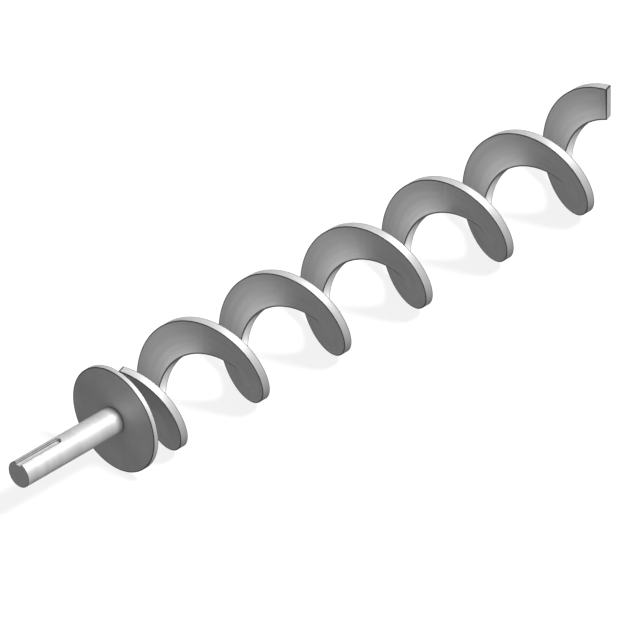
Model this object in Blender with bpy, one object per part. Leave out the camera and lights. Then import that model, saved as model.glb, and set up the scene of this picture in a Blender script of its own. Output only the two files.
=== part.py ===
"""Shaftless conveyor screw: a keyed drive shaft, an end disc and a flight of six welded turns.

Metres, +Z up. The screw's axis is the X axis. The centre of the shaft's free end face is the
origin, and the flight runs towards +X. An angle on the flight is counted from 12 o'clock,
clockwise as seen from the drive end, which makes the flight right-handed.
"""

import math

import bmesh
import bpy
from mathutils import Vector

# Flight
PITCH = 0.200
TURNS = 6
FLIGHT_R = 0.100  # outer radius
CORE_R = 0.035  # inner radius, round the open core
BAR_T = 0.016  # thickness, square to the outer edge's helix

# End disc
DISC_R = 0.100
DISC_T = 0.010

# Drive shaft, from its free end to the disc, and the spigot that goes through the disc
SHAFT_R = 0.025
SHAFT_LEN = 0.230
SPIGOT_R = 0.020
SPIGOT_OUT = 0.010  # how far it stands out behind the disc

# Keyway at 12 o'clock, open at the free end and round at its inner end
KEYWAY_W = 0.012
KEYWAY_DEPTH = 0.0055
KEYWAY_LEN = 0.100
KEYWAY_END_STEPS = 12

# Welds
SEAM_W = 0.004  # butt welds between turns, ground flush
SPIGOT_WELD_LEG = 0.008
START_WELD_LEG = 0.010
HEEL_WELD_LEG = 0.014
HEEL_STATIONS = 6
START_WELD_R0 = 0.038  # the two start welds run between these radii
START_WELD_R1 = 0.086
WELD_CROWN = 0.12  # how far a bead's face bulges, as a share of its leg
BEAD_STEPS = 4

GAP = 0.0003  # between pieces that touch
FACET_ROOM = 0.0009  # between the heel weld and the flight, whose facets stray from its true face
FULL_TURN = 2 * math.pi
SIDES = 72  # facets in a full turn of any round piece
STEP = FULL_TURN / SIDES
CUT_CLEAR = 2.5 * STEP  # from a cut of the flight to the nearest loop in a plane through the axis
RADIAL_BANDS = 4  # strips across the flight's width
SMOOTH_ANGLE = math.radians(30)

# Worked out from the sizes above
LEAD_ANGLE = math.atan(PITCH / (FULL_TURN * FLIGHT_R))
DISC_BACK_X = SHAFT_LEN + DISC_T
START_X = DISC_BACK_X + GAP + BAR_T / 2 * math.cos(LEAD_ANGLE)

# Colour, metallic value and roughness of each finish
FINISHES = {
    "turned_steel": ((0.56, 0.56, 0.56), 0.5, 0.49),
    "plate_steel": ((0.53, 0.53, 0.53), 0.5, 0.51),
    "formed_steel": ((0.54, 0.54, 0.54), 0.5, 0.51),
    "weld_steel": ((0.50, 0.50, 0.50), 0.5, 0.52),
}


def clear_scene():
    for thing in list(bpy.data.objects):
        bpy.data.objects.remove(thing, do_unlink=True)


def finish(name):
    """The material of this name, made the first time it is asked for."""
    material = bpy.data.materials.get(name)
    if material:
        return material
    colour, metallic, roughness = FINISHES[name]
    material = bpy.data.materials.new(name)
    material.use_nodes = True
    shader = material.node_tree.nodes["Principled BSDF"]
    shader.inputs["Base Color"].default_value = (*colour, 1)
    shader.inputs["Metallic"].default_value = metallic
    shader.inputs["Roughness"].default_value = roughness
    return material


def add_object(name, points, faces, finish_name):
    """Make an object from points and faces, with its faces pointing out."""
    mesh = bpy.data.meshes.new(name)
    mesh.from_pydata([tuple(p) for p in points], [], faces)
    work = bmesh.new()
    work.from_mesh(mesh)
    bmesh.ops.recalc_face_normals(work, faces=work.faces)
    work.to_mesh(mesh)
    work.free()
    mesh.shade_smooth()
    mesh.set_sharp_from_angle(angle=SMOOTH_ANGLE)
    thing = bpy.data.objects.new(name, mesh)
    bpy.context.collection.objects.link(thing)
    mesh.materials.append(finish(finish_name))
    return thing


def loft(name, loops, finish_name, ring=False):
    """Skin a row of equal loops. A ring joins its last loop to its first, and has no ends."""
    size = len(loops[0])
    count = len(loops)
    points = [p for loop in loops for p in loop]
    faces = []
    for i in range(count if ring else count - 1):
        here = i * size
        there = (i + 1) % count * size
        for j in range(size):
            k = (j + 1) % size
            faces.append((here + j, here + k, there + k, there + j))
    if not ring:
        faces.append(tuple(range(size)))
        faces.append(tuple(range((count - 1) * size, count * size)))
    return add_object(name, points, faces, finish_name)


def around_axis(x, radius, angle):
    return Vector((x, -radius * math.sin(angle), radius * math.cos(angle)))


def facet_angles():
    """Corners of the round pieces. A flat, not a corner, comes at 6 o'clock."""
    return [(i + 0.5) * STEP for i in range(SIDES)]


def turned_bar(name, profile, finish_name):
    """A solid turned about the axis from (x, radius) points, closed by a flat face at each end."""
    loops = [[around_axis(x, r, a) for a in facet_angles()] for x, r in profile]
    return loft(name, loops, finish_name)


def turned_ring(name, profile, finish_name):
    """A ring turned about the axis from a closed loop of (x, radius) points."""
    loops = [[around_axis(x, r, a) for x, r in profile] for a in facet_angles()]
    return loft(name, loops, finish_name, ring=True)


def lean(radius, across):
    """Angle that a section square to the outer helix is off a plane through the axis."""
    return math.asin(across * math.sin(LEAD_ANGLE) / radius)


def flight_point(angle, radius, across):
    """A point of the flight, across being its distance from the bar's middle face."""
    section_angle = angle + lean(radius, across)
    x = START_X + PITCH * section_angle / FULL_TURN + across * math.cos(LEAD_ANGLE)
    return around_axis(x, radius, angle)


def flight_loop(angle_at):
    """Outline of the bar where it lies at the angle that angle_at gives for a radius and a side."""
    radii = [CORE_R + (FLIGHT_R - CORE_R) * i / RADIAL_BANDS for i in range(RADIAL_BANDS + 1)]
    corners = [(r, -BAR_T / 2) for r in radii] + [(r, BAR_T / 2) for r in reversed(radii)]
    return [flight_point(angle_at(r, across), r, across) for r, across in corners]


def flight_piece(name, first, last, trim_first, trim_last, finish_name):
    """Part of the flight between two square cuts, each set back by a trim measured round it."""

    def first_cut(radius, across):
        return first + trim_first / radius - lean(radius, across)

    def last_cut(radius, across):
        return last - trim_last / radius - lean(radius, across)

    loops = [flight_loop(first_cut)]
    steps = round((last - first - 2 * CUT_CLEAR) / STEP)
    if steps > 0:
        between = [first + CUT_CLEAR + STEP * i for i in range(steps + 1)]
        loops.append(flight_loop(lambda r, across: (first_cut(r, across) + between[0]) / 2))
        loops += [flight_loop(lambda r, across, angle=angle: angle) for angle in between]
        loops.append(flight_loop(lambda r, across: (last_cut(r, across) + between[-1]) / 2))
    loops.append(flight_loop(last_cut))
    return loft(name, loops, finish_name)


def drive_shaft():
    """Turned bar with a shoulder that seats on the disc, a spigot and a milled keyway."""
    end_x = DISC_BACK_X + SPIGOT_OUT
    profile = [(0, SHAFT_R), (SHAFT_LEN - GAP, SHAFT_R), (SHAFT_LEN - GAP, SPIGOT_R), (end_x, SPIGOT_R)]
    shaft = turned_bar("drive_shaft", profile, "turned_steel")
    cut = shaft.modifiers.new("keyway", "BOOLEAN")
    cut.operation = "DIFFERENCE"
    cut.solver = "EXACT"
    cut.object = keyway_cutter()


def keyway_cutter():
    """Outline of the end mill's path, drawn down from above the shaft to the keyway's floor."""
    half = KEYWAY_W / 2
    middle_x = KEYWAY_LEN - half
    outline = [(-half, half)]
    for i in range(KEYWAY_END_STEPS + 1):
        angle = math.pi * i / KEYWAY_END_STEPS
        outline.append((middle_x + half * math.sin(angle), half * math.cos(angle)))
    outline.append((-half, -half))
    floor_z = SHAFT_R - KEYWAY_DEPTH
    loops = [[Vector((x, y, z)) for x, y in outline] for z in (floor_z, 2 * SHAFT_R)]
    cutter = loft("keyway_cutter", loops, "turned_steel")
    cutter.hide_render = True
    cutter.display_type = "WIRE"
    return cutter


def end_disc():
    """Flat round plate, bored for the shaft's spigot."""
    bore = SPIGOT_R + GAP
    profile = [(SHAFT_LEN, bore), (SHAFT_LEN, DISC_R), (DISC_BACK_X, DISC_R), (DISC_BACK_X, bore)]
    turned_ring("end_disc", profile, "plate_steel")


def bead(first, last, away):
    """Curved face of a bead from one toe to the other, crowned by a vector at its middle."""
    line = []
    for i in range(BEAD_STEPS + 1):
        share = i / BEAD_STEPS
        line.append(first.lerp(last, share) + away * math.sin(math.pi * share))
    return line


def spigot_weld():
    """Fillet ring round the spigot, behind the disc."""
    root_x = DISC_BACK_X + GAP
    root_r = SPIGOT_R + GAP
    toe_on_disc = Vector((root_x, root_r + SPIGOT_WELD_LEG))
    toe_on_spigot = Vector((root_x + SPIGOT_WELD_LEG, root_r))
    crown = Vector((1, 1)).normalized() * SPIGOT_WELD_LEG * WELD_CROWN
    profile = [(root_x, root_r)]
    profile += [tuple(p) for p in bead(toe_on_disc, toe_on_spigot, crown)]
    turned_ring("spigot_weld", profile, "weld_steel")


def start_weld():
    """Fillet in the corner between the disc and the square cut end of the first turn."""
    along_cut = Vector((math.cos(LEAD_ANGLE), math.sin(LEAD_ANGLE), 0))
    off_cut = Vector((-math.sin(LEAD_ANGLE), math.cos(LEAD_ANGLE), 0))
    cut_edge = Vector((START_X, 0, 0)) - along_cut * BAR_T / 2
    root = cut_edge + Vector((0, GAP / math.cos(LEAD_ANGLE), 0))
    toe_on_disc = root + Vector((0, START_WELD_LEG, 0))
    toe_on_cut = cut_edge + off_cut * GAP + along_cut * START_WELD_LEG
    crown = Vector((1, 1, 0)).normalized() * START_WELD_LEG * WELD_CROWN
    profile = [root] + bead(toe_on_disc, toe_on_cut, crown)
    loops = [[p + Vector((0, 0, z)) for p in profile] for z in (START_WELD_R0, START_WELD_R1)]
    loft("start_weld", loops, "weld_steel")


def heel_weld():
    """Weld that fills the narrowing gap between the disc and the start of the first turn."""
    seat_x = DISC_BACK_X + GAP
    tip_run = FACET_ROOM / PITCH * FULL_TURN  # the flight has risen this room off the disc here
    loops = []
    for i in range(HEEL_STATIONS + 1):
        radius = START_WELD_R0 + (START_WELD_R1 - START_WELD_R0) * i / HEEL_STATIONS
        cut = -lean(radius, -BAR_T / 2)
        tip = around_axis(seat_x, radius, cut + tip_run)
        under_flight = flight_point(cut + HEEL_WELD_LEG / radius, radius, -BAR_T / 2)
        under_flight.x -= FACET_ROOM
        toe = Vector((seat_x, under_flight.y, under_flight.z))
        crown = Vector((0, -1, 0)) * (under_flight.x - seat_x) * WELD_CROWN
        loops.append([tip] + bead(toe, under_flight, crown))
    loft("heel_weld", loops, "weld_steel")


def flight():
    """Six one-pitch turns, each formed from a ring of plate, with the butt welds between them."""
    trim = SEAM_W / 2 + GAP
    for turn in range(TURNS):
        first = FULL_TURN * turn
        last = FULL_TURN * (turn + 1)
        trim_first = trim if turn else 0
        trim_last = trim if turn < TURNS - 1 else 0
        flight_piece(f"flight_turn_{turn + 1}", first, last, trim_first, trim_last, "formed_steel")
    for seam in range(1, TURNS):
        angle = FULL_TURN * seam
        flight_piece(f"seam_weld_{seam}", angle, angle, -SEAM_W / 2, -SEAM_W / 2, "weld_steel")


clear_scene()
drive_shaft()
end_disc()
spigot_weld()
start_weld()
heel_weld()
flight()
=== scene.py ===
"""A shaftless conveyor screw on a light table: keyed drive shaft, end disc and ribbon flight.

Metres, +Z up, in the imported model's frame: the screw's axis is the X axis, and its drive end is
at the origin. An angle about the axis is counted from 12 o'clock, clockwise seen from there.
"""

import math

import bmesh
import bpy
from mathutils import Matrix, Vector


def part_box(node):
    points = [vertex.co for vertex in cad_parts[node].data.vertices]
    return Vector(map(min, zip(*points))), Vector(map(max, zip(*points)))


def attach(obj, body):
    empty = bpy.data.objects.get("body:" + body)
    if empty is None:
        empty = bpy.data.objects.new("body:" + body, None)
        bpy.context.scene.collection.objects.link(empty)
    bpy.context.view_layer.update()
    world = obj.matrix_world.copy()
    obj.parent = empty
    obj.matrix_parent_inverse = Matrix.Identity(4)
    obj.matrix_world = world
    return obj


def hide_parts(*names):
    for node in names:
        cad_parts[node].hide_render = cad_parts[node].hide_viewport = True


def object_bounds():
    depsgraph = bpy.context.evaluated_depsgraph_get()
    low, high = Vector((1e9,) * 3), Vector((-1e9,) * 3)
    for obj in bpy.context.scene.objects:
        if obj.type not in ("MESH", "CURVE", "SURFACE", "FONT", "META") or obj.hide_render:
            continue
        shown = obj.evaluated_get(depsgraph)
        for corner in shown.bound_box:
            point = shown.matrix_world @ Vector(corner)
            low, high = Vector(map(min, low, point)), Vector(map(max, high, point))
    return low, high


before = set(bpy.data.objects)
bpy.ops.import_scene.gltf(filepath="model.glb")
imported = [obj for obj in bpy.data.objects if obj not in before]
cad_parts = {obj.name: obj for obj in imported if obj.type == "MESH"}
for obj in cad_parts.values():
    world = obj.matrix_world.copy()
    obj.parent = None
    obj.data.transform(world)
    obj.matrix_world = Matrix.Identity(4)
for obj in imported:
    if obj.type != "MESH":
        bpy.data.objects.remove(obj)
cad_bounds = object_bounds()

# The light table and the studio
# The screw lies on a white table that glows from within, so its shadow stays faint. A soft main
# light stands high up in front, a weak wide one beyond the free end, and the room is an even grey.

TABLE_SIZE = 16.0
TABLE_WHITE = 0.15
TABLE_GLOW = 0.85
ROOM_GREY = 0.265
MAIN_ANGLE = math.radians(12)  # how wide the soft light looks from the screw
MAIN_STRENGTH = 5.3
MAIN_FROM = Vector((0.12, -0.52, 0.86))
FILL_ANGLE = math.radians(35)
FILL_STRENGTH = 0.55
FILL_FROM = Vector((0.85, 0.5, 0.05))


def new_material(name):
    """A material of this name, with its tree and its shader."""
    material = bpy.data.materials.new(name)
    material.use_nodes = True
    return material, material.node_tree, material.node_tree.nodes["Principled BSDF"]


def grey(value):
    return (value, value, value, 1)


def light_table():
    mesh = bpy.data.meshes.new("light_table")
    half = TABLE_SIZE / 2
    middle_x = (cad_bounds[0].x + cad_bounds[1].x) / 2
    top = cad_bounds[0].z
    corners = [(-half, -half), (half, -half), (half, half), (-half, half)]
    mesh.from_pydata([(middle_x + x, y, top) for x, y in corners], [], [(0, 1, 2, 3)])
    table = bpy.data.objects.new("light_table", mesh)
    bpy.context.collection.objects.link(table)
    material, _, shader = new_material("table_white")
    shader.inputs["Base Color"].default_value = grey(TABLE_WHITE)
    shader.inputs["Roughness"].default_value = 1.0
    shader.inputs["Specular IOR Level"].default_value = 0.0
    shader.inputs["Emission Color"].default_value = grey(1)
    shader.inputs["Emission Strength"].default_value = TABLE_GLOW
    mesh.materials.append(material)
    table.visible_diffuse = False
    table.visible_glossy = False


def soft_light(name, strength, angle, source):
    """A soft light that comes from the direction of the vector source."""
    lamp = bpy.data.lights.new(name, "SUN")
    lamp.energy = strength
    lamp.angle = angle
    light = bpy.data.objects.new(name, lamp)
    light.rotation_mode = "QUATERNION"
    light.rotation_quaternion = source.to_track_quat("Z", "Y")
    bpy.context.collection.objects.link(light)


def grey_room():
    world = bpy.data.worlds.new("grey_room")
    world.use_nodes = True
    world.node_tree.nodes["Background"].inputs["Color"].default_value = grey(ROOM_GREY)
    bpy.context.scene.world = world


light_table()
soft_light("main_light", MAIN_STRENGTH, MAIN_ANGLE, MAIN_FROM)
soft_light("fill_light", FILL_STRENGTH, FILL_ANGLE, FILL_FROM)
grey_room()

# The camera
# The drawing is a parallel view along a cube's diagonal. A very long lens from far away comes
# within a pixel or two of it, and still frames the whole screw from any other side.

CAMERA_AZIMUTH = math.radians(-45)
CAMERA_ELEVATION = math.atan(1 / math.sqrt(2))
CAMERA_LENS = 1600.0
CAMERA_AIM = Vector((0.7337, 0, -0.0407))
CAMERA_DISTANCE = 49.39
CAMERA_NEAR = 1.0
CAMERA_FAR = 2 * CAMERA_DISTANCE


def camera():
    lens = bpy.data.cameras.new("camera")
    lens.lens = CAMERA_LENS
    lens.clip_start = CAMERA_NEAR
    lens.clip_end = CAMERA_FAR
    eye = bpy.data.objects.new("camera", lens)
    back = Vector((
        math.sin(CAMERA_AZIMUTH) * math.cos(CAMERA_ELEVATION),
        -math.cos(CAMERA_AZIMUTH) * math.cos(CAMERA_ELEVATION),
        math.sin(CAMERA_ELEVATION),
    ))
    eye.location = CAMERA_AIM + back * CAMERA_DISTANCE
    eye.rotation_mode = "QUATERNION"
    eye.rotation_quaternion = (-back).to_track_quat("-Z", "Y")
    bpy.context.collection.objects.link(eye)
    bpy.context.scene.camera = eye
    bpy.context.scene.view_settings.view_transform = "Standard"


camera()

# The drive shaft
# Bright round bar, turned all over. Its free end has a small chamfer and an end-milled keyway at
# 12 o'clock, and its other end steps down at a shoulder to a spigot that goes through the disc.

FULL_TURN = 2 * math.pi
SHAFT_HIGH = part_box("drive_shaft")[1]
DISC_LOW, DISC_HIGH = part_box("end_disc")
SEAT_GAP = 0.0003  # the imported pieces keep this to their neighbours
SHAFT_R = SHAFT_HIGH.z
SHAFT_CHAMFER = 0.0008
SHOULDER_X = DISC_LOW.x - SEAT_GAP
SPIGOT_R = 0.020
KEYWAY_W = 0.012
KEYWAY_FLOOR_Z = 0.0195
KEYWAY_LEN = 0.100
KEYWAY_END_STEPS = 24
TURNED_SIDES = 240
SMOOTH_ANGLE = math.radians(12)
MERGE_WITHIN = 0.00001  # points closer than this are one

STEEL_METALLIC = 0.5
FACE_LINE_W = 0.0026  # the dark line that a cut edge keeps, on the broad face beside it
RIM_LINE_W = 0.0011  # and on a narrow face or the shaft
LINE_CORE = 0.5  # the share of a line's width that is fully dark
LINE_DARK = 0.12
NOISE_LOW, NOISE_HIGH = 0.3, 0.7  # a noise pattern seldom leaves this range
RING_SCALE = 1400.0
RING_DEPTH = 0.00004
BLOOM_SCALE = 60.0
RING_SHARE = 0.5  # of the shaft's tone, and the rest follows its broader blooms
TURNED_TONE = (0.50, 0.63)
TURNED_ROUGHNESS = (0.40, 0.58)
WALL_PAINTED_SHADE = 0.22  # painted shade: how much darker the keyway's walls are made, for the shade down in the slot
ON_END = 0.0001  # how near to a surface a point counts as on it: the end face,
ON_WALL = 0.00002  # a keyway's wall,
ON_ROUND = 0.00005  # and the shaft's round side


def put(tree, kind, inputs=None, **settings):
    """Add a node to a tree. Each input is a value or another node's output."""
    made = tree.nodes.new(kind)
    for name, value in settings.items():
        setattr(made, name, value)
    for key, value in (inputs or {}).items():
        if isinstance(value, bpy.types.NodeSocket):
            tree.links.new(value, made.inputs[key])
        else:
            made.inputs[key].default_value = value
    return made


def maths(tree, operation, *values):
    return put(tree, "ShaderNodeMath", dict(enumerate(values)), operation=operation).outputs[0]


def hypotenuse(tree, a, b):
    squares = maths(tree, "ADD", maths(tree, "POWER", a, 2.0), maths(tree, "POWER", b, 2.0))
    return maths(tree, "SQRT", squares)


def share(tree, value, low, high, to_low, to_high):
    """Map a value from one range to another, smoothly and no further."""
    inputs = {"Value": value, "From Min": low, "From Max": high, "To Min": to_low, "To Max": to_high}
    return put(tree, "ShaderNodeMapRange", inputs, interpolation_type="SMOOTHSTEP").outputs[0]


def blend(tree, factor, a, b):
    return put(tree, "ShaderNodeMix", {"Factor": factor, "A": a, "B": b}).outputs[0]


def xyz(tree, x, y, z):
    return put(tree, "ShaderNodeCombineXYZ", {0: x, 1: y, 2: z}).outputs[0]


def noise(tree, vector, scale, detail=3.0):
    inputs = {"Vector": vector, "Scale": scale, "Detail": detail}
    return put(tree, "ShaderNodeTexNoise", inputs).outputs[0]


def ring_noise(tree, x, radius, scale):
    """Noise that is even round the axis, as a lathe leaves it."""
    along = maths(tree, "MULTIPLY", x, scale)
    outward = maths(tree, "MULTIPLY", radius, scale)
    return noise(tree, xyz(tree, along, outward, 0.0), 1.0)


def object_place(tree):
    """Object coordinates: x along the axis, the radius, and y and z across it."""
    place = put(tree, "ShaderNodeTexCoord").outputs["Object"]
    x, y, z = put(tree, "ShaderNodeSeparateXYZ", {0: place}).outputs
    return x, hypotenuse(tree, y, z), y, z


def finish_steel(tree, shader, tone, tone_range, line, line_dark, roughness, rough_range, depth):
    """Wire a steel: a tone with dark lines at its edges, and a roughness that is also its relief."""
    shade = share(tree, tone, NOISE_LOW, NOISE_HIGH, tone_range[0], tone_range[1])
    shade = maths(tree, "MULTIPLY", shade, share(tree, line, LINE_CORE, 1.0, line_dark, 1.0))
    colour = put(tree, "ShaderNodeCombineColor", {0: shade, 1: shade, 2: shade})
    rough = share(tree, roughness, NOISE_LOW, NOISE_HIGH, rough_range[0], rough_range[1])
    bump = put(tree, "ShaderNodeBump", {"Height": roughness, "Distance": depth, "Strength": 1.0})
    tree.links.new(colour.outputs[0], shader.inputs["Base Color"])
    tree.links.new(rough, shader.inputs["Roughness"])
    tree.links.new(bump.outputs[0], shader.inputs["Normal"])


def keyway_lines(tree, x, radius, y, z):
    """How far a point is from the keyway's edges, and whether it is on one of its walls."""
    past_straight = maths(tree, "SUBTRACT", x, KEYWAY_LEN - KEYWAY_W / 2)
    off_middle = hypotenuse(tree, maths(tree, "MAXIMUM", past_straight, 0.0), y)
    off_wall = maths(tree, "ABSOLUTE", maths(tree, "SUBTRACT", off_middle, KEYWAY_W / 2))
    off_floor = maths(tree, "ABSOLUTE", maths(tree, "SUBTRACT", z, KEYWAY_FLOOR_Z))
    off_top = maths(tree, "ABSOLUTE", maths(tree, "SUBTRACT", SHAFT_R, radius))
    off_top = maths(tree, "ADD", off_top, maths(tree, "LESS_THAN", z, 0.0))
    edge = maths(tree, "MAXIMUM", off_wall, maths(tree, "MINIMUM", off_floor, off_top))
    edge = maths(tree, "ADD", edge, maths(tree, "LESS_THAN", x, ON_END))
    # where on the keyway's walls the painted shade goes
    on_wall = maths(tree, "LESS_THAN", off_wall, ON_WALL)
    on_wall = maths(tree, "MULTIPLY", on_wall, maths(tree, "LESS_THAN", radius, SHAFT_R - ON_ROUND))
    on_wall = maths(tree, "MULTIPLY", on_wall, maths(tree, "GREATER_THAN", z, KEYWAY_FLOOR_Z))
    return edge, on_wall


def turned_steel():
    """Lathe rings along the shaft and across its end, dark lines at the edges it was cut to, painted shade
    on the keyway's walls and a painted shadow line where the shaft meets the disc.
    """
    material, tree, shader = new_material("turned_steel")
    shader.inputs["Metallic"].default_value = STEEL_METALLIC
    x, radius, y, z = object_place(tree)
    rings = ring_noise(tree, x, radius, RING_SCALE)
    blooms = ring_noise(tree, x, radius, BLOOM_SCALE)
    end_edge = maths(tree, "MAXIMUM", x, maths(tree, "SUBTRACT", SHAFT_R, radius))
    # painted shadow: a dark ring on the shaft where it meets the disc, for the shade in the gap
    disc_shadow_edge = maths(tree, "ABSOLUTE", maths(tree, "SUBTRACT", SHOULDER_X, x))
    slot_edge, on_wall = keyway_lines(tree, x, radius, y, z)
    edge = maths(tree, "MINIMUM", maths(tree, "MINIMUM", end_edge, disc_shadow_edge), slot_edge)
    line = maths(tree, "DIVIDE", edge, RIM_LINE_W)
    # painted shade: the keyway's walls are darkened, for the shade down in the slot
    wall_painted_shade = maths(tree, "SUBTRACT", 1.0, maths(tree, "MULTIPLY", on_wall, WALL_PAINTED_SHADE))
    line = maths(tree, "MINIMUM", line, wall_painted_shade)
    tone = blend(tree, RING_SHARE, blooms, rings)
    finish_steel(tree, shader, tone, TURNED_TONE, line, LINE_DARK, rings, TURNED_ROUGHNESS, RING_DEPTH)
    return material


def around_axis(x, radius, angle):
    return Vector((x, -radius * math.sin(angle), radius * math.cos(angle)))


def smooth(mesh, angle=SMOOTH_ANGLE):
    mesh.shade_smooth()
    mesh.set_sharp_from_angle(angle=angle)


def add_piece(name, points, faces):
    """A mesh object from points and faces, smooth where its faces nearly line up."""
    mesh = bpy.data.meshes.new(name)
    mesh.from_pydata([tuple(p) for p in points], [], faces)
    work = bmesh.new()
    work.from_mesh(mesh)
    bmesh.ops.recalc_face_normals(work, faces=work.faces)
    work.to_mesh(mesh)
    work.free()
    smooth(mesh)
    piece = bpy.data.objects.new(name, mesh)
    bpy.context.collection.objects.link(piece)
    return piece


def skin(name, loops, ring=False):
    """Skin a row of equal loops. A ring joins its last loop to its first, and has no ends."""
    size = len(loops[0])
    count = len(loops)
    faces = []
    for i in range(count if ring else count - 1):
        here = i * size
        there = (i + 1) % count * size
        for j in range(size):
            k = (j + 1) % size
            faces.append((here + j, here + k, there + k, there + j))
    if not ring:
        faces.append(tuple(range(size)))
        faces.append(tuple(range((count - 1) * size, count * size)))
    return add_piece(name, [p for loop in loops for p in loop], faces)


def applied(piece):
    """Replace a piece's mesh by what its modifiers make of it."""
    evaluated = piece.evaluated_get(bpy.context.evaluated_depsgraph_get())
    mesh = bpy.data.meshes.new_from_object(evaluated)
    piece.modifiers.clear()
    piece.data = mesh
    return mesh


def end_mill():
    """The space that the end mill cuts out of the shaft: straight, with a round inner end."""
    half = KEYWAY_W / 2
    outline = [(-half, half)]
    for i in range(KEYWAY_END_STEPS + 1):
        angle = math.pi * i / KEYWAY_END_STEPS
        outline.append((KEYWAY_LEN - half + half * math.sin(angle), half * math.cos(angle)))
    outline.append((-half, -half))
    heights = (KEYWAY_FLOOR_Z, 2 * SHAFT_R)
    return skin("end_mill", [[Vector((x, y, z)) for x, y in outline] for z in heights])


def drive_shaft():
    end_x = SHAFT_HIGH.x
    profile = [
        (0, SHAFT_R - SHAFT_CHAMFER),
        (SHAFT_CHAMFER, SHAFT_R),
        (SHOULDER_X, SHAFT_R),
        (SHOULDER_X, SPIGOT_R),
        (end_x - SHAFT_CHAMFER, SPIGOT_R),
        (end_x, SPIGOT_R - SHAFT_CHAMFER),
    ]
    angles = [FULL_TURN * i / TURNED_SIDES for i in range(TURNED_SIDES)]
    shaft = skin("turned_shaft", [[around_axis(x, r, a) for a in angles] for x, r in profile])
    cutter = end_mill()
    cut = shaft.modifiers.new("keyway", "BOOLEAN")
    cut.operation = "DIFFERENCE"
    cut.solver = "EXACT"
    cut.object = cutter
    mesh = applied(shaft)
    bpy.data.objects.remove(cutter)
    work = bmesh.new()
    work.from_mesh(mesh)
    bmesh.ops.remove_doubles(work, verts=work.verts, dist=MERGE_WITHIN)
    bmesh.ops.dissolve_degenerate(work, edges=work.edges, dist=MERGE_WITHIN)
    work.to_mesh(mesh)
    work.free()
    smooth(mesh)
    mesh.materials.clear()
    mesh.materials.append(turned_steel())
    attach(shaft, "root")
    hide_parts("drive_shaft")


drive_shaft()

# The end disc
# Round steel plate, cut out, faced on both sides and bored for the spigot. Its edges are broken,
# and they keep the dark line of the cut.

DISC_R = DISC_HIGH.z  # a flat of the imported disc, so that the finer one stays inside it
DISC_EDGE_BREAK = 0.0006
EDGE_STEPS = 3
FAR_LINE_W = 0.0018  # the dark line on a narrow face, along its side away from the drive end
FACING_SCALE = 900.0
CLOUD_SCALE = 18.0
FACING_SHARE = 0.6  # of the plate's tone, and the rest follows soft clouds
PLATE_TONE = (0.46, 0.60)
PLATE_ROUGHNESS = (0.42, 0.60)


def plate_steel():
    """Plate faced on a lathe: fine rings across the faces, and dark lines at the edges."""
    material, tree, shader = new_material("plate_steel")
    shader.inputs["Metallic"].default_value = STEEL_METALLIC
    x, radius, _, _ = object_place(tree)
    rings = ring_noise(tree, x, radius, FACING_SCALE)
    cloud = noise(tree, put(tree, "ShaderNodeTexCoord").outputs["Object"], CLOUD_SCALE)
    to_front = maths(tree, "DIVIDE", maths(tree, "SUBTRACT", x, DISC_LOW.x), RIM_LINE_W)
    to_back = maths(tree, "DIVIDE", maths(tree, "SUBTRACT", DISC_HIGH.x, x), FAR_LINE_W)
    to_rim = maths(tree, "DIVIDE", maths(tree, "SUBTRACT", DISC_R, radius), FACE_LINE_W)
    line = maths(tree, "MAXIMUM", maths(tree, "MINIMUM", to_front, to_back), to_rim)
    tone = blend(tree, FACING_SHARE, cloud, rings)
    finish_steel(tree, shader, tone, PLATE_TONE, line, LINE_DARK, rings, PLATE_ROUGHNESS, RING_DEPTH)
    return material


def end_disc():
    bore = SPIGOT_R + SEAT_GAP
    rounding = []
    for i in range(EDGE_STEPS + 1):
        angle = math.pi / 2 * i / EDGE_STEPS
        off_face = DISC_EDGE_BREAK * (1 - math.sin(angle))
        rounding.append((off_face, DISC_R - DISC_EDGE_BREAK * (1 - math.cos(angle))))
    profile = [(DISC_LOW.x, bore)]
    profile += [(DISC_LOW.x + off_face, radius) for off_face, radius in reversed(rounding)]
    profile += [(DISC_HIGH.x - off_face, radius) for off_face, radius in rounding]
    profile.append((DISC_HIGH.x, bore))
    angles = [FULL_TURN * i / TURNED_SIDES for i in range(TURNED_SIDES)]
    disc = skin("plate_disc", [[around_axis(x, r, a) for x, r in profile] for a in angles], ring=True)
    disc.data.materials.append(plate_steel())
    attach(disc, "root")
    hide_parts("end_disc")


end_disc()

# The flight
# Six turns of thick flat steel, each formed from a plate ring and pulled out to one pitch, then
# butt-welded end to end and ground flush. Its edges are broken, and both its ends are cut square.

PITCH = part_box("flight_turn_3")[0].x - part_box("flight_turn_2")[0].x
TURNS = 6
FLIGHT_R = 0.09987  # of the bar's middle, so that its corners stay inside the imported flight
CORE_R = 0.035
HALF_WIDTH = (FLIGHT_R - CORE_R) / 2
BAR_T = 0.016
BAR_EDGE_BREAK = 0.0006
EDGE_BREAK_STEPS = 2
CUT_EDGE_BREAK = 0.0005
LEAD_ANGLE = math.atan(PITCH / (FULL_TURN * FLIGHT_R))
FLIGHT_START_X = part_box("flight_turn_1")[0].x + BAR_T / 2 * math.cos(LEAD_ANGLE)
SEAM_W = 0.004
SEAM_TURN = SEAM_W / (FULL_TURN * FLIGHT_R)  # a butt weld's share of a turn
SEAM_STEPS = 2
STEPS_PER_TURN = 240
WIDTH_BANDS = 16
SIDE_CORNERS = 4  # only the bar's two end faces have more corners
MIDDLE_RUN = FULL_TURN * (FLIGHT_R + CORE_R) / 2  # once round the middle of the bar's width

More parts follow.
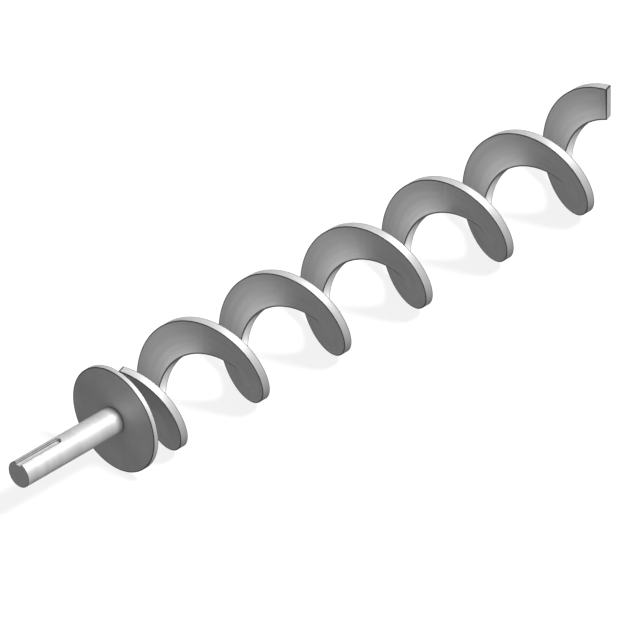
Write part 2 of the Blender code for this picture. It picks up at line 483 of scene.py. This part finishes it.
BAR_TONE = (0.51, 0.57)
WELD_TONE = (0.53, 0.59)
BAR_ROUGHNESS = (0.46, 0.56)
BAR_DEPTH = 0.00002
STREAK_TURN = 0.0145  # a turn's length in the streaks' pattern, short so that they are drawn out
ROLL_SCALE = 1100.0
ROLL_STRETCH = 1.0
BAND_SCALE = 110.0
BAND_STRETCH = 0.35
GROUND_RUN = 0.012  # how far from a butt weld the bar is ground
GROUND_FADE = 0.004
GROUND_WANDER = 0.006
GRIND_PER_TURN = 700.0
GRIND_SCALE = 60.0  # along the grinding marks, which run straight across the bar
CORE_LINE_W = 0.0036  # the dark line on the broad faces, at the edge round the core
WIDEST_CORE_LINE_W = 0.008  # of the same line, where the bar runs down past 3 o'clock
CORE_LINE_TURN = 0.30  # where it is widest,
CORE_LINE_HOLD = 0.05  # how far either way it stays so, in turns,
CORE_LINE_EASE = 0.15  # and how far off it is back to its plain width
CUT_TONE = (0.50, 0.56)
CUT_DEPTH = 0.00003
SAW_SCALE = (900.0, 40.0)  # across and along the saw marks


def tree_input(tree, name, kind, value=None):
    socket = tree.interface.new_socket(name, in_out="INPUT", socket_type=kind)
    if value is not None:
        socket.default_value = value


def helix_path(tree, given):
    """The outer helix between two counts of turns, with its normal outward and its turn stored."""
    path = put(tree, "GeometryNodeResampleCurve", {
        "Curve": put(tree, "GeometryNodeCurvePrimitiveLine").outputs[0],
        "Count": maths(tree, "ADD", given["Steps"], 1.0),
    }, mode="COUNT")
    factor = put(tree, "GeometryNodeSplineParameter").outputs["Factor"]
    span = maths(tree, "SUBTRACT", given["Last Turn"], given["First Turn"])
    turn = maths(tree, "MULTIPLY_ADD", factor, span, given["First Turn"])
    angle = maths(tree, "MULTIPLY", turn, FULL_TURN)
    sideways = maths(tree, "MULTIPLY", maths(tree, "SINE", angle), -1.0)
    radial = xyz(tree, 0.0, sideways, maths(tree, "COSINE", angle))
    out = put(tree, "ShaderNodeVectorMath", {
        0: radial, "Scale": given["Outer Radius"],
    }, operation="SCALE")
    forward = xyz(tree, maths(tree, "MULTIPLY_ADD", turn, given["Pitch"], given["Start X"]), 0.0, 0.0)
    place = put(tree, "ShaderNodeVectorMath", {0: out.outputs[0], 1: forward}, operation="ADD")
    path = put(tree, "GeometryNodeSetPosition", {
        "Geometry": path.outputs[0], "Position": place.outputs[0],
    })
    path = put(tree, "GeometryNodeSetCurveNormal", {
        "Curve": path.outputs[0], "Normal": radial,
    }, mode="FREE")
    path = put(tree, "GeometryNodeStoreNamedAttribute", {
        "Geometry": path.outputs[0], "Name": "turn", "Value": turn,
    }, data_type="FLOAT", domain="POINT")
    return path.outputs[0]


def bar_section(tree, given):
    """The bar's rectangle with broken corners, its place in the section stored, and its outer
    edge on the path."""
    width = maths(tree, "SUBTRACT", given["Outer Radius"], given["Core Radius"])
    section = put(tree, "GeometryNodeCurvePrimitiveQuadrilateral", {
        "Width": width, "Height": given["Thickness"],
    })
    on_thickness = maths(tree, "MODULO", put(tree, "GeometryNodeInputIndex").outputs[0], 2.0)
    cuts = maths(tree, "MULTIPLY", maths(tree, "SUBTRACT", 1.0, on_thickness), given["Width Bands"])
    section = put(tree, "GeometryNodeSubdivideCurve", {"Curve": section.outputs[0], "Cuts": cuts})
    section = put(tree, "GeometryNodeFilletCurve", {
        "Curve": section.outputs[0], "Count": EDGE_BREAK_STEPS, "Radius": given["Edge Break"],
    }, mode="POLY")
    section = put(tree, "GeometryNodeStoreNamedAttribute", {
        "Geometry": section.outputs[0],
        "Name": "section",
        "Value": put(tree, "GeometryNodeInputPosition").outputs[0],
    }, data_type="FLOAT_VECTOR", domain="POINT")
    inward = xyz(tree, maths(tree, "MULTIPLY", width, -0.5), 0.0, 0.0)
    section = put(tree, "GeometryNodeTransform", {"Geometry": section.outputs[0], "Translation": inward})
    return section.outputs[0]


def formed_bar_tree():
    """Bar of a rectangular section, swept along the outer helix between two counts of turns."""
    tree = bpy.data.node_groups.new("formed_bar", "GeometryNodeTree")
    tree.interface.new_socket("Geometry", in_out="OUTPUT", socket_type="NodeSocketGeometry")
    tree_input(tree, "Pitch", "NodeSocketFloat", PITCH)
    tree_input(tree, "Outer Radius", "NodeSocketFloat", FLIGHT_R)
    tree_input(tree, "Core Radius", "NodeSocketFloat", CORE_R)
    tree_input(tree, "Thickness", "NodeSocketFloat", BAR_T)
    tree_input(tree, "Edge Break", "NodeSocketFloat", BAR_EDGE_BREAK)
    tree_input(tree, "Start X", "NodeSocketFloat", FLIGHT_START_X)
    tree_input(tree, "First Turn", "NodeSocketFloat", 0.0)
    tree_input(tree, "Last Turn", "NodeSocketFloat", 1.0)
    tree_input(tree, "Steps", "NodeSocketInt", STEPS_PER_TURN)
    tree_input(tree, "Width Bands", "NodeSocketInt", WIDTH_BANDS)
    tree_input(tree, "Bar Material", "NodeSocketMaterial")
    tree_input(tree, "Cut Material", "NodeSocketMaterial")
    given = put(tree, "NodeGroupInput").outputs
    bar = put(tree, "GeometryNodeCurveToMesh", {
        "Curve": helix_path(tree, given), "Profile Curve": bar_section(tree, given), "Fill Caps": True,
    })
    bar = put(tree, "GeometryNodeMergeByDistance", {"Geometry": bar.outputs[0], "Distance": MERGE_WITHIN})
    corners = put(tree, "GeometryNodeInputMeshFaceNeighbors").outputs["Vertex Count"]
    is_end = maths(tree, "GREATER_THAN", corners, SIDE_CORNERS)
    bar = put(tree, "GeometryNodeRealizeInstances", {"Geometry": bar.outputs[0]})
    bar = put(tree, "GeometryNodeSetMaterial", {
        "Geometry": bar.outputs[0], "Material": given["Bar Material"],
    })
    bar = put(tree, "GeometryNodeSetMaterial", {
        "Geometry": bar.outputs[0], "Selection": is_end, "Material": given["Cut Material"],
    })
    tree.links.new(bar.outputs[0], put(tree, "NodeGroupOutput").inputs[0])
    return tree


def grown(piece, tree, values):
    """Give a piece the mesh that a tree makes of it, with these values."""
    modifier = piece.modifiers.new("tree", "NODES")
    modifier.node_group = tree
    for item in tree.interface.items_tree:
        if item.name in values:
            modifier[item.identifier] = values[item.name]
    return applied(piece)


def end_faces(work):
    return [face for face in work.faces if len(face.verts) > SIDE_CORNERS]


def chamfer_cut(work, cut_side):
    """Put an end face a little smaller than the bar before its cut, whose rim is set back."""
    cut = max(end_faces(work), key=lambda face: cut_side * face.calc_center_bounds().x)
    middle = cut.calc_center_bounds()
    back = cut.normal * CUT_EDGE_BREAK
    across = 1 - CUT_EDGE_BREAK / (BAR_T / 2)
    up = 1 - CUT_EDGE_BREAK / HALF_WIDTH
    smaller = Vector((across, across, up))
    rim = list(cut.verts)
    raised = [work.verts.new(middle + (vert.co - middle) * smaller, vert) for vert in rim]
    for vert in rim:
        vert.co -= back
    for i in range(len(rim)):
        work.faces.new((rim[i - 1], rim[i], raised[i], raised[i - 1]), cut)
    work.faces.new(raised, cut)
    work.faces.remove(cut)


def bar_piece(name, tree, values, cut_side=0):
    """A length of bar, its end faces divided, and chamfered at a free cut on this side in x."""
    piece = bpy.data.objects.new(name, bpy.data.meshes.new(name))
    bpy.context.collection.objects.link(piece)
    mesh = grown(piece, tree, values)
    work = bmesh.new()
    work.from_mesh(mesh)
    if cut_side:
        chamfer_cut(work, cut_side)
    bmesh.ops.triangulate(work, faces=end_faces(work), quad_method="BEAUTY", ngon_method="BEAUTY")
    work.to_mesh(mesh)
    work.free()
    smooth(mesh)
    return piece


def bar_place(tree):
    """Place of a point on the bar: its turn, and how far out and across the section it is."""
    section = put(tree, "ShaderNodeAttribute", attribute_name="section").outputs["Vector"]
    out, across, _ = put(tree, "ShaderNodeSeparateXYZ", {0: section}).outputs
    turn = put(tree, "ShaderNodeAttribute", attribute_name="turn").outputs["Fac"]
    return turn, out, across


def bar_edge_line(tree, turn, out, across):
    """0 at the bar's edges and 1 past their dark lines, as wide as each side keeps them."""
    off_widest = maths(tree, "SUBTRACT", maths(tree, "FRACT", turn), CORE_LINE_TURN)
    off_widest = maths(tree, "ABSOLUTE", off_widest)
    core_line_w = share(tree, off_widest, CORE_LINE_HOLD, CORE_LINE_EASE, WIDEST_CORE_LINE_W, CORE_LINE_W)
    to_outer = maths(tree, "DIVIDE", maths(tree, "SUBTRACT", HALF_WIDTH, out), FACE_LINE_W)
    to_core = maths(tree, "DIVIDE", maths(tree, "ADD", HALF_WIDTH, out), core_line_w)
    to_near = maths(tree, "DIVIDE", maths(tree, "SUBTRACT", BAR_T / 2, across), RIM_LINE_W)
    to_far = maths(tree, "DIVIDE", maths(tree, "ADD", BAR_T / 2, across), FAR_LINE_W)
    to_face_edge = maths(tree, "MINIMUM", to_outer, to_core)
    to_rim_edge = maths(tree, "MINIMUM", to_near, to_far)
    to_end = maths(tree, "MINIMUM", turn, maths(tree, "SUBTRACT", TURNS, turn))
    to_end = maths(tree, "DIVIDE", maths(tree, "MULTIPLY", to_end, MIDDLE_RUN), FACE_LINE_W)
    return maths(tree, "MINIMUM", maths(tree, "MAXIMUM", to_face_edge, to_rim_edge), to_end)


def streaks(tree, turn, out, across, scale, stretch):
    """Noise over the section, drawn out along the bar."""
    place = xyz(tree, maths(tree, "MULTIPLY", turn, STREAK_TURN / stretch), out, across)
    return noise(tree, place, scale)


def formed_steel(name, tone_range):
    """Bar steel, streaked along the helix by the forming rolls and ground across at each weld."""
    material, tree, shader = new_material(name)
    shader.inputs["Metallic"].default_value = STEEL_METALLIC
    turn, out, across = bar_place(tree)
    rolled = streaks(tree, turn, out, across, ROLL_SCALE, ROLL_STRETCH)
    bands = streaks(tree, turn, out, across, BAND_SCALE, BAND_STRETCH)
    off_weld = maths(tree, "MULTIPLY", maths(tree, "PINGPONG", turn, 0.5), MIDDLE_RUN)
    off_weld = maths(tree, "MULTIPLY_ADD", bands, GROUND_WANDER, off_weld)
    ground = share(tree, off_weld, GROUND_RUN, GROUND_RUN + GROUND_FADE, 1.0, 0.0)
    along = maths(tree, "MULTIPLY", turn, GRIND_PER_TURN)
    grind_out = maths(tree, "MULTIPLY", out, GRIND_SCALE)
    grind_across = maths(tree, "MULTIPLY", across, GRIND_SCALE)
    crossed = noise(tree, xyz(tree, along, grind_out, grind_across), 1.0)
    marks = blend(tree, ground, rolled, crossed)
    tone = blend(tree, ground, bands, crossed)
    line = bar_edge_line(tree, turn, out, across)
    finish_steel(tree, shader, tone, tone_range, line, LINE_DARK, marks, BAR_ROUGHNESS, BAR_DEPTH)
    return material


def cut_steel():
    """Sawn end of the bar: fine parallel saw marks, and a dark line round the cut."""
    material, tree, shader = new_material("cut_steel")
    shader.inputs["Metallic"].default_value = STEEL_METALLIC
    _, out, across = bar_place(tree)
    to_rim = maths(tree, "SUBTRACT", HALF_WIDTH, maths(tree, "ABSOLUTE", out))
    to_face = maths(tree, "SUBTRACT", BAR_T / 2, maths(tree, "ABSOLUTE", across))
    line = maths(tree, "DIVIDE", maths(tree, "MINIMUM", to_rim, to_face), RIM_LINE_W)
    saw_out = maths(tree, "MULTIPLY", out, SAW_SCALE[0])
    saw_across = maths(tree, "MULTIPLY", across, SAW_SCALE[1])
    marks = noise(tree, xyz(tree, saw_out, saw_across, 0.0), 1.0)
    finish_steel(tree, shader, marks, CUT_TONE, line, LINE_DARK, marks, BAR_ROUGHNESS, CUT_DEPTH)
    return material


def flight():
    tree = formed_bar_tree()
    materials = {"Bar Material": formed_steel("formed_steel", BAR_TONE), "Cut Material": cut_steel()}
    free_cuts = {1: -1, TURNS: 1}
    for number in range(1, TURNS + 1):
        first = number - 1 + (SEAM_TURN / 2 if number > 1 else 0)
        last = number - (SEAM_TURN / 2 if number < TURNS else 0)
        values = {"First Turn": first, "Last Turn": last, **materials}
        turn = bar_piece(f"formed_turn_{number}", tree, values, free_cuts.get(number, 0))
        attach(turn, "root")
        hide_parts(f"flight_turn_{number}")
    materials["Bar Material"] = formed_steel("ground_weld", WELD_TONE)
    for number in range(1, TURNS):
        first = number - SEAM_TURN / 2
        values = {"First Turn": first, "Last Turn": first + SEAM_TURN, "Steps": SEAM_STEPS, **materials}
        seam = bar_piece(f"ground_seam_{number}", tree, values)
        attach(seam, "root")
        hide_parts(f"seam_weld_{number}")


flight()

# The beads
# Fillet welds that hold the disc to the spigot and the first turn to the disc, all on the disc's
# hidden side. Each is a solid bead with the fine ripples that the weld pool leaves.

BEAD_LEG = 0.008
START_LEG = 0.010
HEEL_LEG = 0.014
HEEL_CLEAR = 0.0006  # between the heel bead and the flight
START_LOW_R = 0.0382  # the two beads at the flight's start run out between these radii
START_HIGH_R = 0.0858
BEAD_CROWN = 0.10  # how far a bead's face bulges, as a share of its leg
BEAD_SIDES = 14
BEAD_END_RUN = 0.005  # over which a bead rises to its full size at each end
BEAD_END_SIZE = 0.25
BEAD_SMOOTH_ANGLE = math.radians(50)
RIPPLE_PITCH = 0.0016
RIPPLE_HEIGHT = 0.00035
RIPPLE_STEPS = 5  # loops of a bead to one ripple
RIPPLE_UNEVENNESS = 0.6
RIPPLE_SEED = 1.0
WANDER_SCALE = 400.0
BEAD_STATION = RIPPLE_PITCH / RIPPLE_STEPS

MOTTLE_SCALE = 260.0
GRAIN_SCALE = 2400.0
GRAIN_DEPTH = 0.00003
BEAD_TONE = (0.42, 0.52)
BEAD_ROUGHNESS = (0.46, 0.58)
# painted shade: the weld is darkened down in its ripples' grooves, found by how hollow the surface is
GROOVE_PAINTED_SHADE = 0.55
GROOVE_LOW, GROOVE_HIGH = 0.44, 0.50  # how hollow the surface is, from a groove to nearly flat


def rippled_bead_tree():
    """Push a bead's crowned face in and out, so that it carries a row of curved ripples."""
    tree = bpy.data.node_groups.new("rippled_bead", "GeometryNodeTree")
    tree.interface.new_socket("Geometry", in_out="OUTPUT", socket_type="NodeSocketGeometry")
    tree.interface.new_socket("Geometry", in_out="INPUT", socket_type="NodeSocketGeometry")
    tree_input(tree, "Ripple Pitch", "NodeSocketFloat", RIPPLE_PITCH)
    tree_input(tree, "Ripple Height", "NodeSocketFloat", RIPPLE_HEIGHT)
    tree_input(tree, "Unevenness", "NodeSocketFloat", RIPPLE_UNEVENNESS)
    tree_input(tree, "Seed", "NodeSocketFloat", RIPPLE_SEED)
    tree_input(tree, "Weld Material", "NodeSocketMaterial")
    given = put(tree, "NodeGroupInput").outputs
    along = put(tree, "GeometryNodeInputNamedAttribute", {"Name": "along"}, data_type="FLOAT").outputs[0]
    crown = put(tree, "GeometryNodeInputNamedAttribute", {"Name": "crown"}, data_type="FLOAT").outputs[0]
    wander_place = xyz(tree, maths(tree, "MULTIPLY", along, WANDER_SCALE), crown, given["Seed"])
    wander = put(tree, "ShaderNodeTexNoise", {"Vector": wander_place, "Scale": 1.0}).outputs[0]
    count = maths(tree, "ADD", maths(tree, "DIVIDE", along, given["Ripple Pitch"]), crown)
    count = maths(tree, "MULTIPLY_ADD", wander, given["Unevenness"], count)
    ripple = maths(tree, "SINE", maths(tree, "MULTIPLY", maths(tree, "FRACT", count), math.pi))
    height = maths(tree, "MULTIPLY", maths(tree, "SUBTRACT", ripple, 1.0), given["Ripple Height"])
    height = maths(tree, "MULTIPLY", height, crown)
    push = put(tree, "ShaderNodeVectorMath", {
        0: put(tree, "GeometryNodeInputNormal").outputs[0], "Scale": height,
    }, operation="SCALE")
    bead = put(tree, "GeometryNodeSetPosition", {"Geometry": given["Geometry"], "Offset": push.outputs[0]})
    bead = put(tree, "GeometryNodeRealizeInstances", {"Geometry": bead.outputs[0]})
    bead = put(tree, "GeometryNodeSetMaterial", {
        "Geometry": bead.outputs[0], "Material": given["Weld Material"],
    })
    tree.links.new(bead.outputs[0], put(tree, "NodeGroupOutput").inputs[0])
    return tree


def weld_steel():
    """Weld metal as it cooled: dull and a little mottled, with painted shade darkening it down in its
    ripples.
    """
    material, tree, shader = new_material("weld_steel")
    shader.inputs["Metallic"].default_value = STEEL_METALLIC
    place = put(tree, "ShaderNodeTexCoord").outputs["Object"]
    mottle = noise(tree, place, MOTTLE_SCALE)
    grain = noise(tree, place, GRAIN_SCALE)
    pointed = put(tree, "ShaderNodeNewGeometry").outputs["Pointiness"]
    # painted shade in the grooves, fading out towards the flat parts of the bead
    flat = share(tree, pointed, GROOVE_LOW, GROOVE_HIGH, 0.0, 1.0)
    finish_steel(tree, shader, mottle, BEAD_TONE, flat, GROOVE_PAINTED_SHADE, grain, BEAD_ROUGHNESS, GRAIN_DEPTH)
    return material


def bead_loop(root, first_toe, last_toe, away):
    """Section of a bead: its root, then its face from toe to toe, bulging by the vector away."""
    loop = [root]
    for i in range(BEAD_SIDES + 1):
        part = i / BEAD_SIDES
        loop.append(first_toe.lerp(last_toe, part) + away * math.sin(math.pi * part))
    return loop


def rounded_ends(loops):
    """Shrink a straight bead's loops towards its root near both ends, to round them off."""
    rounded = []
    for i, loop in enumerate(loops):
        run = BEAD_STATION * min(i, len(loops) - 1 - i)
        short = 1 - min(1.0, run / BEAD_END_RUN)
        size = BEAD_END_SIZE + (1 - BEAD_END_SIZE) * math.sqrt(1 - short * short)
        rounded.append([loop[0].lerp(point, size) for point in loop])
    return rounded


def bead_piece(name, node, tree, material, loops, ring=False):
    """A bead skinned over its loops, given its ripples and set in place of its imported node."""
    bead = skin(name, loops, ring)
    along = bead.data.attributes.new("along", "FLOAT", "POINT")
    crown = bead.data.attributes.new("crown", "FLOAT", "POINT")
    for i, loop in enumerate(loops):
        for j in range(len(loop)):
            here = i * len(loop) + j
            along.data[here].value = BEAD_STATION * i
            crown.data[here].value = math.sin(math.pi * (j - 1) / BEAD_SIDES) if j else 0.0
    smooth(grown(bead, tree, {"Weld Material": material}), BEAD_SMOOTH_ANGLE)
    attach(bead, "root")
    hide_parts(node)


def start_radii():
    """Where the loops of the two beads at the flight's start lie, from the core outwards."""
    run = START_HIGH_R - START_LOW_R
    steps = round(run / BEAD_STATION)
    return [START_LOW_R + run * i / steps for i in range(steps + 1)]


def spigot_bead(tree, material):
    """All round the spigot, in the corner between it and the disc."""
    root_x = DISC_HIGH.x + SEAT_GAP
    root_r = SPIGOT_R + SEAT_GAP
    toe_on_disc = Vector((root_x, root_r + BEAD_LEG))
    toe_on_spigot = Vector((root_x + BEAD_LEG, root_r))
    away = Vector((1, 1)).normalized() * BEAD_LEG * BEAD_CROWN
    profile = bead_loop(Vector((root_x, root_r)), toe_on_disc, toe_on_spigot, away)
    run = FULL_TURN * (root_r + BEAD_LEG / 2)
    steps = RIPPLE_STEPS * round(run / RIPPLE_PITCH)
    loops = [[around_axis(p[0], p[1], FULL_TURN * i / steps) for p in profile] for i in range(steps)]
    bead_piece("spigot_bead", "spigot_weld", tree, material, loops, ring=True)


def start_bead(tree, material):
    """Along the square cut end of the first turn, on the side that the cut faces."""
    along_cut = Vector((math.cos(LEAD_ANGLE), math.sin(LEAD_ANGLE), 0))
    off_cut = Vector((-math.sin(LEAD_ANGLE), math.cos(LEAD_ANGLE), 0))
    cut_edge = Vector((FLIGHT_START_X, 0, 0)) - along_cut * BAR_T / 2
    root = cut_edge + Vector((0, SEAT_GAP / math.cos(LEAD_ANGLE), 0))
    toe_on_disc = root + Vector((0, START_LEG, 0))
    toe_on_cut = cut_edge + off_cut * SEAT_GAP + along_cut * START_LEG
    away = Vector((1, 1, 0)).normalized() * START_LEG * BEAD_CROWN
    profile = bead_loop(root, toe_on_disc, toe_on_cut, away)
    loops = [[p + Vector((0, 0, z)) for p in profile] for z in start_radii()]
    bead_piece("start_bead", "start_weld", tree, material, rounded_ends(loops))


def heel_bead(tree, material):
    """In the narrow wedge between the disc and the first turn's drive side."""
    seat_x = DISC_HIGH.x + SEAT_GAP
    loops = []
    for radius in start_radii():
        cut = math.asin(BAR_T / 2 * math.sin(LEAD_ANGLE) / radius)
        tip = around_axis(seat_x, radius, cut + HEEL_CLEAR / PITCH * FULL_TURN)
        rise = PITCH * HEEL_LEG / radius / FULL_TURN - HEEL_CLEAR
        face = around_axis(seat_x + rise, radius, cut + HEEL_LEG / radius)
        toe = Vector((seat_x, face.y, face.z))
        loops.append(bead_loop(tip, toe, face, Vector((0, -1, 0)) * rise * BEAD_CROWN))
    bead_piece("heel_bead", "heel_weld", tree, material, rounded_ends(loops))


def beads():
    tree = rippled_bead_tree()
    material = weld_steel()
    spigot_bead(tree, material)
    start_bead(tree, material)
    heel_bead(tree, material)


beads()
